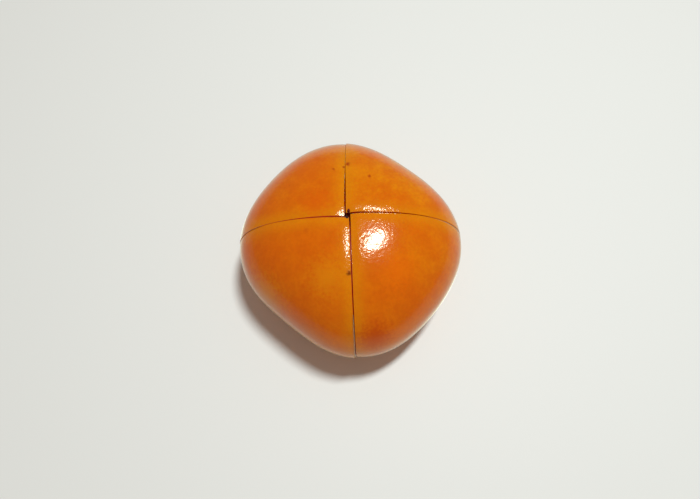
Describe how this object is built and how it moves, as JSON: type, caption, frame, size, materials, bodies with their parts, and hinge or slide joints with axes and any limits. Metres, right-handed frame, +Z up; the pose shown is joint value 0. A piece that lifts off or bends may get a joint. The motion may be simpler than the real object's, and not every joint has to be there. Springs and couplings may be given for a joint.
{
  "type": "persimmon",
  "caption": "Squarish sweet persimmon standing tip up on its calyx, cut through into quarters that are pushed back together, one half slightly out of line.",
  "frame": {"origin": "on the surface that the fruit stands on, under the middle of its outline", "axes": "+Z up along the fruit's core from the stem to the tip, +X to the right and +Y to the back, along the cuts to within a few degrees"},
  "size_m": [0.0894, 0.0895, 0.0504],
  "materials": {
    "fruit": "orange fruit skin with a waxy gloss",
    "calyx": "dry brown-green sepals, matt"
  },
  "bodies": {
    "root": {"fruit_back_right": "fruit", "fruit_back_left": "fruit", "fruit_front_left": "fruit", "fruit_front_right": "fruit", "calyx_back_right": "calyx", "calyx_back_left": "calyx", "calyx_front_left": "calyx", "calyx_front_right": "calyx"}
  },
  "joints": []
}
